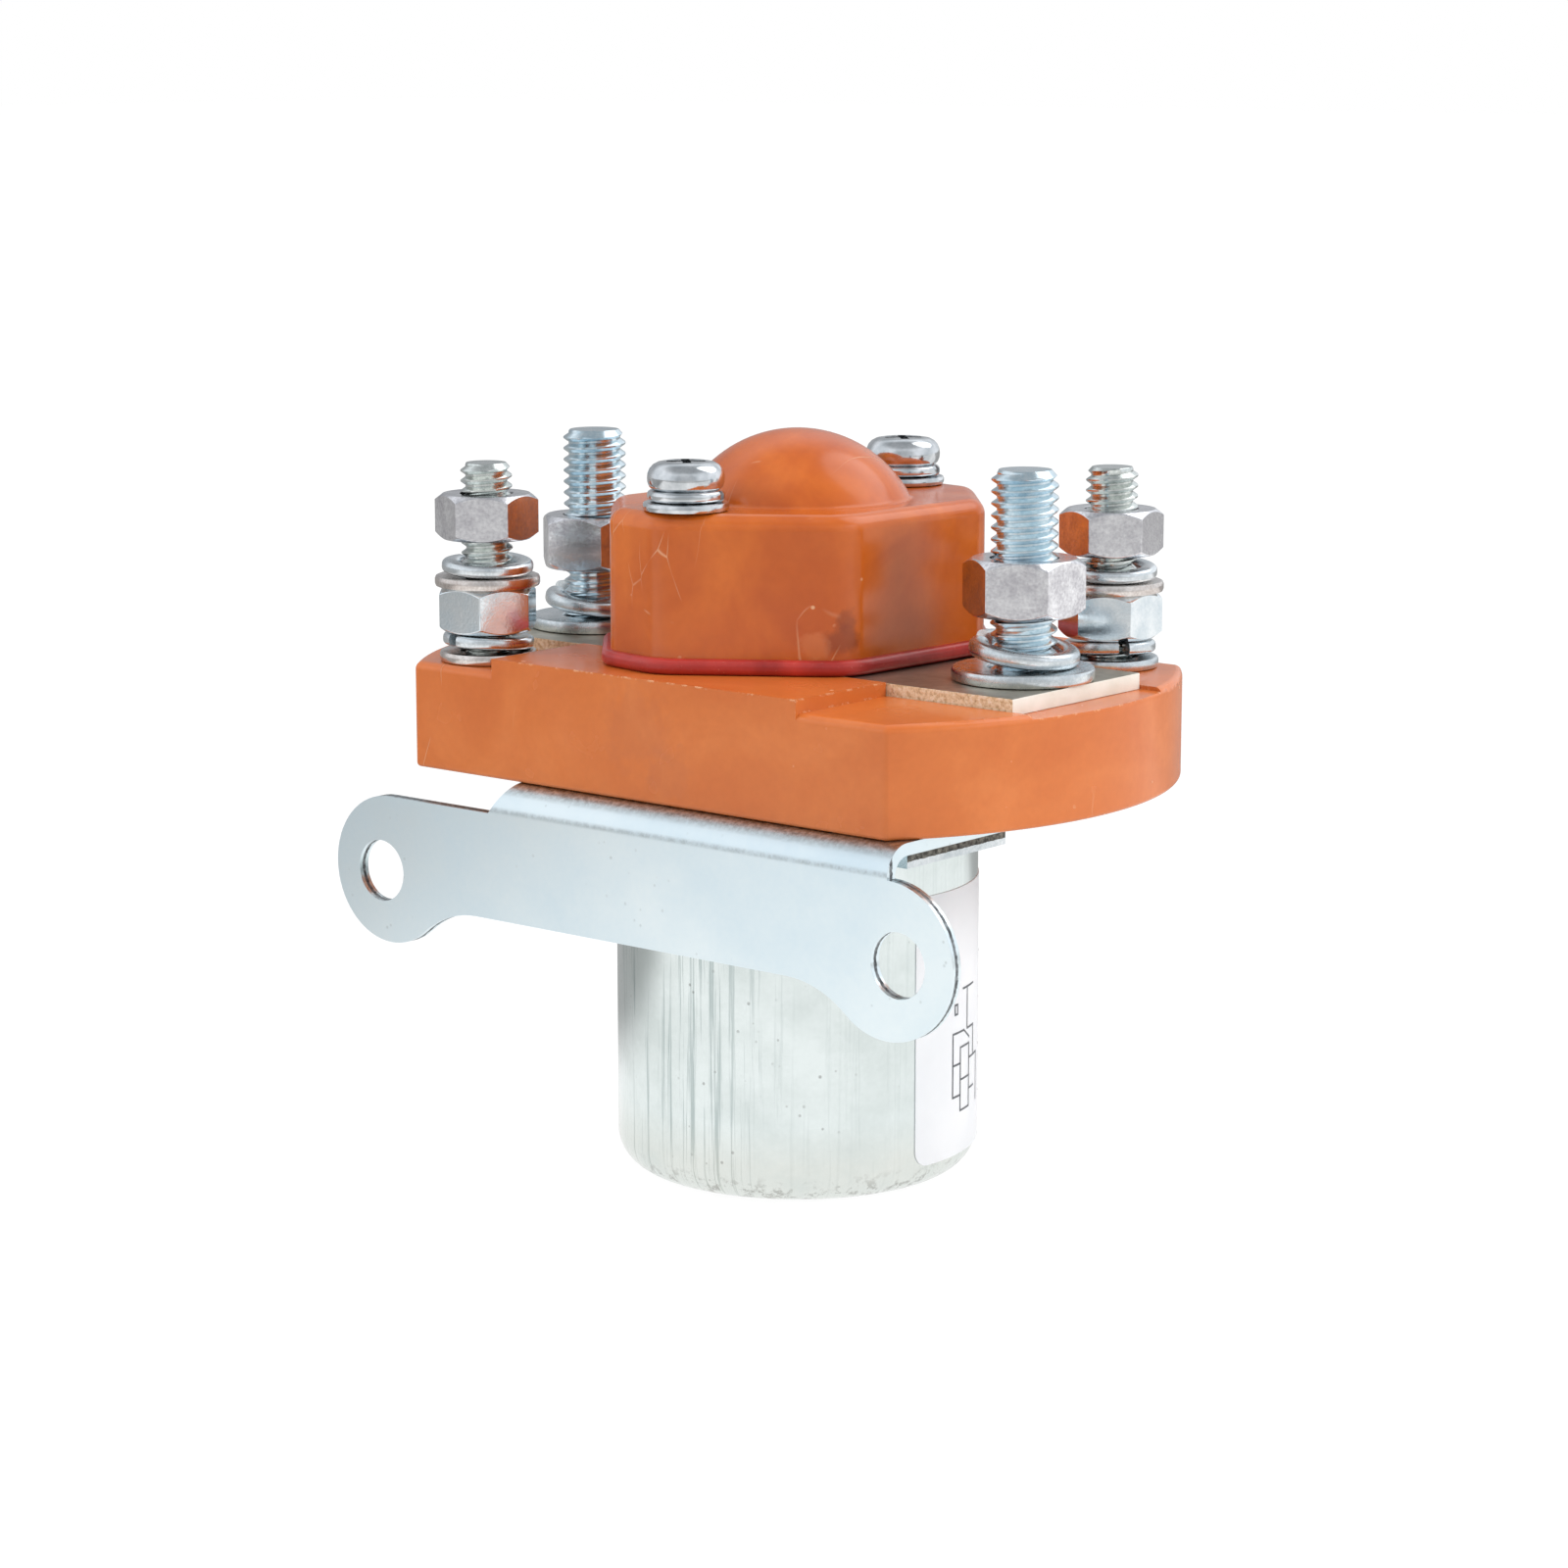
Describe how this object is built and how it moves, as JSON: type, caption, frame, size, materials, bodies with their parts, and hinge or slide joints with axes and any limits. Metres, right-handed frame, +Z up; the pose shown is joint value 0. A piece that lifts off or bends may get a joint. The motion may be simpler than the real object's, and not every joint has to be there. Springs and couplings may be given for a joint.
{
  "type": "contactor",
  "caption": "Direct-current contactor: steel coil can, moulded base with a domed contact cover, power and coil terminal studs, and an eared mounting bracket.",
  "frame": {"origin": "centre of the can's flat bottom", "axes": "+Z up through the can, the plunger and the domed cover; +X along the base's flat sides, from the left power stud to the right one; the mounting bracket faces -Y"},
  "size_m": [0.0976, 0.0614, 0.0922],
  "materials": {
    "phenolic": "glossy orange-brown compression-moulded thermoset",
    "zinc_sheet": "bright zinc-plated steel sheet, faintly blue",
    "zinc_hardware": "bright zinc-plated steel fasteners, faintly blue",
    "tinned_plate": "tin-plated brass bar with stamped edges",
    "seal_rubber": "matt red silicone rubber",
    "label_film": "white self-adhesive label",
    "soft_iron": "turned soft iron",
    "bobbin_nylon": "natural moulded nylon",
    "coil_copper": "enamelled copper wire",
    "coil_tape": "yellow polyester coil tape",
    "contact_copper": "bare copper bar",
    "contact_silver": "silver alloy contact face",
    "spring_steel": "drawn spring steel wire",
    "insulator": "dark brown laminated insulating board",
    "lead_sleeve": "red sleeved copper lead"
  },
  "bodies": {
    "housing": {"can": "zinc_sheet", "bracket": "zinc_sheet", "yoke_plate": "soft_iron", "pole_plate": "soft_iron", "fixed_core": "soft_iron", "bobbin": "bobbin_nylon", "winding": "coil_copper", "winding_wrap": "coil_tape", "base": "phenolic", "cover": "phenolic", "cover_gasket": "seal_rubber", "label": "label_film", "stop_washer": "insulator", "return_spring": "spring_steel", "coil_lead_left": "lead_sleeve", "terminal_plate_left": "tinned_plate", "fixed_contact_left": "contact_silver", "power_stud_left": "zinc_hardware", "power_flat_washer_left": "zinc_hardware", "power_spring_washer_left": "zinc_hardware", "power_nut_left": "zinc_hardware", "coil_stud_left": "zinc_hardware", "coil_flat_washer_lower_left": "zinc_hardware", "coil_spring_washer_lower_left": "zinc_hardware", "coil_nut_lower_left": "zinc_hardware", "coil_flat_washer_upper_left": "zinc_hardware", "coil_spring_washer_upper_left": "zinc_hardware", "coil_nut_upper_left": "zinc_hardware", "coil_lead_right": "lead_sleeve", "terminal_plate_right": "tinned_plate", "fixed_contact_right": "contact_silver", "power_stud_right": "zinc_hardware", "power_flat_washer_right": "zinc_hardware", "power_spring_washer_right": "zinc_hardware", "power_nut_right": "zinc_hardware", "coil_stud_right": "zinc_hardware", "coil_flat_washer_lower_right": "zinc_hardware", "coil_spring_washer_lower_right": "zinc_hardware", "coil_nut_lower_right": "zinc_hardware", "coil_flat_washer_upper_right": "zinc_hardware", "coil_spring_washer_upper_right": "zinc_hardware", "coil_nut_upper_right": "zinc_hardware", "cover_flat_washer_front": "zinc_hardware", "cover_spring_washer_front": "zinc_hardware", "cover_screw_front": "zinc_hardware", "yoke_screw_front": "zinc_hardware", "cover_flat_washer_rear": "zinc_hardware", "cover_spring_washer_rear": "zinc_hardware", "cover_screw_rear": "zinc_hardware", "yoke_screw_rear": "zinc_hardware"},
    "plunger": {"plunger": "soft_iron", "push_rod": "spring_steel", "insulating_bush": "insulator", "spring_cap": "spring_steel", "retaining_clip": "spring_steel", "contact_spring": "spring_steel"},
    "bridge": {"contact_bridge": "contact_copper", "moving_contact_left": "contact_silver", "moving_contact_right": "contact_silver", "insulating_washer": "insulator"}
  },
  "joints": [
    {"name": "plunger_slide", "type": "slide", "parent": "housing", "child": "plunger", "axis": [0, 0, -1], "range_m": [0, 0.0035], "stiffness_N_per_m": 400, "springref_m": -0.006, "deforming": ["return_spring"]},
    {"name": "bridge_slide", "type": "slide", "parent": "plunger", "child": "bridge", "axis": [0, 0, 1], "range_m": [0, 0.001], "deforming": ["contact_spring"]}
  ],
  "couplings": [
    {"joint": "bridge_slide", "follows": "plunger_slide", "ratio": 0.2857}
  ]
}
